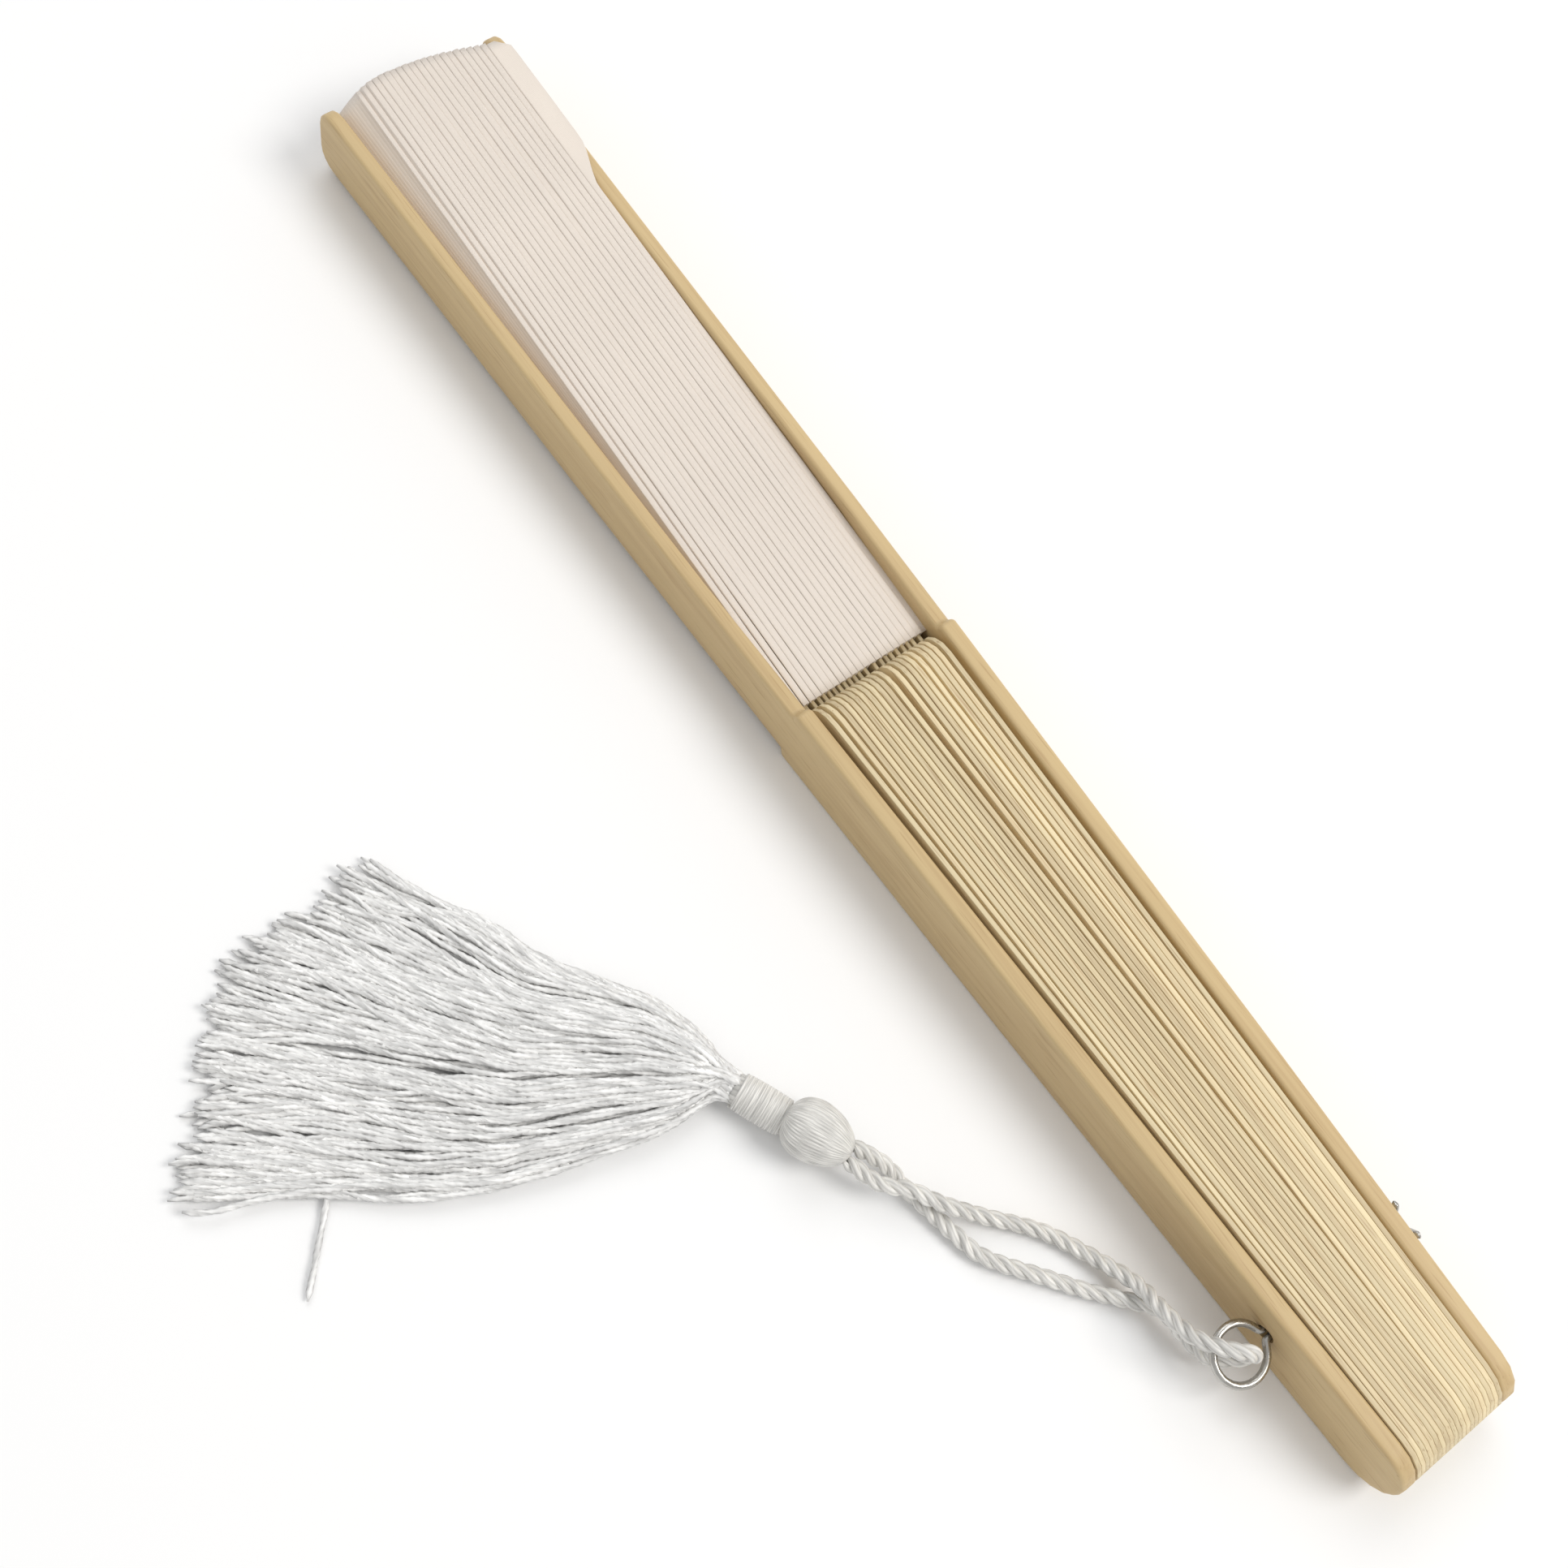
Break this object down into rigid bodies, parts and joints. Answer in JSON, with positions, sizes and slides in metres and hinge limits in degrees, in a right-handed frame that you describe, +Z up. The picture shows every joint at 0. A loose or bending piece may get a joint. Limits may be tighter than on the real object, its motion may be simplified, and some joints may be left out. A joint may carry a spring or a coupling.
{
  "type": "folding hand fan",
  "caption": "Closed folding hand fan: bare wooden guards and ribs on one pivot, a pleated white cloth leaf, and a white cord tassel through the pin's eye.",
  "frame": {"origin": "centre of the bottom of the closed fan's bounding box, without the tassel and its cord", "axes": "+X along the sticks from the leaf's tip to the pivot end, +Y across the stack from the front guard to the back guard, +Z up, with the fan lying on the lower edges of its sticks"},
  "size_m": [0.2302, 0.1161, 0.013],
  "materials": {
    "guard_wood": "satin",
    "rib_wood": "satin",
    "cloth": "matte",
    "steel": "satin",
    "thread": "satin"
  },
  "bodies": {
    "front_guard": {"front_guard": "guard_wood", "split_pin": "steel", "leaf_fold_00": "cloth", "cord_run_a": "thread", "cord_run_b": "thread", "tassel_knot": "thread", "tassel_neck": "thread", "tassel_skirt": "thread", "washer": "steel"},
    "rib_01": {"rib_01": "rib_wood", "leaf_fold_01": "cloth"},
    "rib_02": {"rib_02": "rib_wood", "leaf_fold_02": "cloth"},
    "rib_03": {"rib_03": "rib_wood", "leaf_fold_03": "cloth"},
    "rib_04": {"rib_04": "rib_wood", "leaf_fold_04": "cloth"},
    "rib_05": {"rib_05": "rib_wood", "leaf_fold_05": "cloth"},
    "rib_06": {"rib_06": "rib_wood", "leaf_fold_06": "cloth"},
    "rib_07": {"rib_07": "rib_wood", "leaf_fold_07": "cloth"},
    "rib_08": {"rib_08": "rib_wood", "leaf_fold_08": "cloth"},
    "rib_09": {"rib_09": "rib_wood", "leaf_fold_09": "cloth"},
    "rib_10": {"rib_10": "rib_wood", "leaf_fold_10": "cloth"},
    "rib_11": {"rib_11": "rib_wood", "leaf_fold_11": "cloth"},
    "rib_12": {"rib_12": "rib_wood", "leaf_fold_12": "cloth"},
    "rib_13": {"rib_13": "rib_wood", "leaf_fold_13": "cloth"},
    "rib_14": {"rib_14": "rib_wood", "leaf_fold_14": "cloth"},
    "rib_15": {"rib_15": "rib_wood", "leaf_fold_15": "cloth"},
    "rib_16": {"rib_16": "rib_wood", "leaf_fold_16": "cloth"},
    "rib_17": {"rib_17": "rib_wood", "leaf_fold_17": "cloth"},
    "rib_18": {"rib_18": "rib_wood", "leaf_fold_18": "cloth"},
    "rib_19": {"rib_19": "rib_wood", "leaf_fold_19": "cloth"},
    "rib_20": {"rib_20": "rib_wood", "leaf_fold_20": "cloth"},
    "rib_21": {"rib_21": "rib_wood", "leaf_fold_21": "cloth"},
    "back_guard": {"back_guard": "guard_wood"}
  },
  "joints": [
    {"name": "fan_opening", "type": "hinge", "parent": "front_guard", "child": "back_guard", "pos_m": [0.09115, 0.0024, 0.0065], "axis": [0, 1, 0], "range_deg": [0, 150]},
    {"name": "rib_01_turn", "type": "hinge", "parent": "front_guard", "child": "rib_01", "pos_m": [0.09115, 0.0024, 0.0065], "axis": [0, 1, 0], "range_deg": [0, 6.83]},
    {"name": "rib_02_turn", "type": "hinge", "parent": "front_guard", "child": "rib_02", "pos_m": [0.09115, 0.0024, 0.0065], "axis": [0, 1, 0], "range_deg": [0, 13.65]},
    {"name": "rib_03_turn", "type": "hinge", "parent": "front_guard", "child": "rib_03", "pos_m": [0.09115, 0.0024, 0.0065], "axis": [0, 1, 0], "range_deg": [0, 20.46]},
    {"name": "rib_04_turn", "type": "hinge", "parent": "front_guard", "child": "rib_04", "pos_m": [0.09115, 0.0024, 0.0065], "axis": [0, 1, 0], "range_deg": [0, 27.28]},
    {"name": "rib_05_turn", "type": "hinge", "parent": "front_guard", "child": "rib_05", "pos_m": [0.09115, 0.0024, 0.0065], "axis": [0, 1, 0], "range_deg": [0, 34.1]},
    {"name": "rib_06_turn", "type": "hinge", "parent": "front_guard", "child": "rib_06", "pos_m": [0.09115, 0.0024, 0.0065], "axis": [0, 1, 0], "range_deg": [0, 40.92]},
    {"name": "rib_07_turn", "type": "hinge", "parent": "front_guard", "child": "rib_07", "pos_m": [0.09115, 0.0024, 0.0065], "axis": [0, 1, 0], "range_deg": [0, 47.74]},
    {"name": "rib_08_turn", "type": "hinge", "parent": "front_guard", "child": "rib_08", "pos_m": [0.09115, 0.0024, 0.0065], "axis": [0, 1, 0], "range_deg": [0, 54.55]},
    {"name": "rib_09_turn", "type": "hinge", "parent": "front_guard", "child": "rib_09", "pos_m": [0.09115, 0.0024, 0.0065], "axis": [0, 1, 0], "range_deg": [0, 61.37]},
    {"name": "rib_10_turn", "type": "hinge", "parent": "front_guard", "child": "rib_10", "pos_m": [0.09115, 0.0024, 0.0065], "axis": [0, 1, 0], "range_deg": [0, 68.19]},
    {"name": "rib_11_turn", "type": "hinge", "parent": "front_guard", "child": "rib_11", "pos_m": [0.09115, 0.0024, 0.0065], "axis": [0, 1, 0], "range_deg": [0, 75.01]},
    {"name": "rib_12_turn", "type": "hinge", "parent": "front_guard", "child": "rib_12", "pos_m": [0.09115, 0.0024, 0.0065], "axis": [0, 1, 0], "range_deg": [0, 81.83]},
    {"name": "rib_13_turn", "type": "hinge", "parent": "front_guard", "child": "rib_13", "pos_m": [0.09115, 0.0024, 0.0065], "axis": [0, 1, 0], "range_deg": [0, 88.65]},
    {"name": "rib_14_turn", "type": "hinge", "parent": "front_guard", "child": "rib_14", "pos_m": [0.09115, 0.0024, 0.0065], "axis": [0, 1, 0], "range_deg": [0, 95.47]},
    {"name": "rib_15_turn", "type": "hinge", "parent": "front_guard", "child": "rib_15", "pos_m": [0.09115, 0.0024, 0.0065], "axis": [0, 1, 0], "range_deg": [0, 102.28]},
    {"name": "rib_16_turn", "type": "hinge", "parent": "front_guard", "child": "rib_16", "pos_m": [0.09115, 0.0024, 0.0065], "axis": [0, 1, 0], "range_deg": [0, 109.1]},
    {"name": "rib_17_turn", "type": "hinge", "parent": "front_guard", "child": "rib_17", "pos_m": [0.09115, 0.0024, 0.0065], "axis": [0, 1, 0], "range_deg": [0, 115.92]},
    {"name": "rib_18_turn", "type": "hinge", "parent": "front_guard", "child": "rib_18", "pos_m": [0.09115, 0.0024, 0.0065], "axis": [0, 1, 0], "range_deg": [0, 122.74]},
    {"name": "rib_19_turn", "type": "hinge", "parent": "front_guard", "child": "rib_19", "pos_m": [0.09115, 0.0024, 0.0065], "axis": [0, 1, 0], "range_deg": [0, 129.56]},
    {"name": "rib_20_turn", "type": "hinge", "parent": "front_guard", "child": "rib_20", "pos_m": [0.09115, 0.0024, 0.0065], "axis": [0, 1, 0], "range_deg": [0, 136.37]},
    {"name": "rib_21_turn", "type": "hinge", "parent": "front_guard", "child": "rib_21", "pos_m": [0.09115, 0.0024, 0.0065], "axis": [0, 1, 0], "range_deg": [0, 143.19]}
  ],
  "couplings": [
    {"joint": "rib_01_turn", "follows": "fan_opening", "ratio": 0.045455},
    {"joint": "rib_02_turn", "follows": "fan_opening", "ratio": 0.090909},
    {"joint": "rib_03_turn", "follows": "fan_opening", "ratio": 0.13636},
    {"joint": "rib_04_turn", "follows": "fan_opening", "ratio": 0.18182},
    {"joint": "rib_05_turn", "follows": "fan_opening", "ratio": 0.22727},
    {"joint": "rib_06_turn", "follows": "fan_opening", "ratio": 0.27273},
    {"joint": "rib_07_turn", "follows": "fan_opening", "ratio": 0.31818},
    {"joint": "rib_08_turn", "follows": "fan_opening", "ratio": 0.36364},
    {"joint": "rib_09_turn", "follows": "fan_opening", "ratio": 0.40909},
    {"joint": "rib_10_turn", "follows": "fan_opening", "ratio": 0.45454},
    {"joint": "rib_11_turn", "follows": "fan_opening", "ratio": 0.5},
    {"joint": "rib_12_turn", "follows": "fan_opening", "ratio": 0.54546},
    {"joint": "rib_13_turn", "follows": "fan_opening", "ratio": 0.59091},
    {"joint": "rib_14_turn", "follows": "fan_opening", "ratio": 0.63636},
    {"joint": "rib_15_turn", "follows": "fan_opening", "ratio": 0.68182},
    {"joint": "rib_16_turn", "follows": "fan_opening", "ratio": 0.72727},
    {"joint": "rib_17_turn", "follows": "fan_opening", "ratio": 0.77273},
    {"joint": "rib_18_turn", "follows": "fan_opening", "ratio": 0.81818},
    {"joint": "rib_19_turn", "follows": "fan_opening", "ratio": 0.86364},
    {"joint": "rib_20_turn", "follows": "fan_opening", "ratio": 0.90909},
    {"joint": "rib_21_turn", "follows": "fan_opening", "ratio": 0.95454}
  ]
}
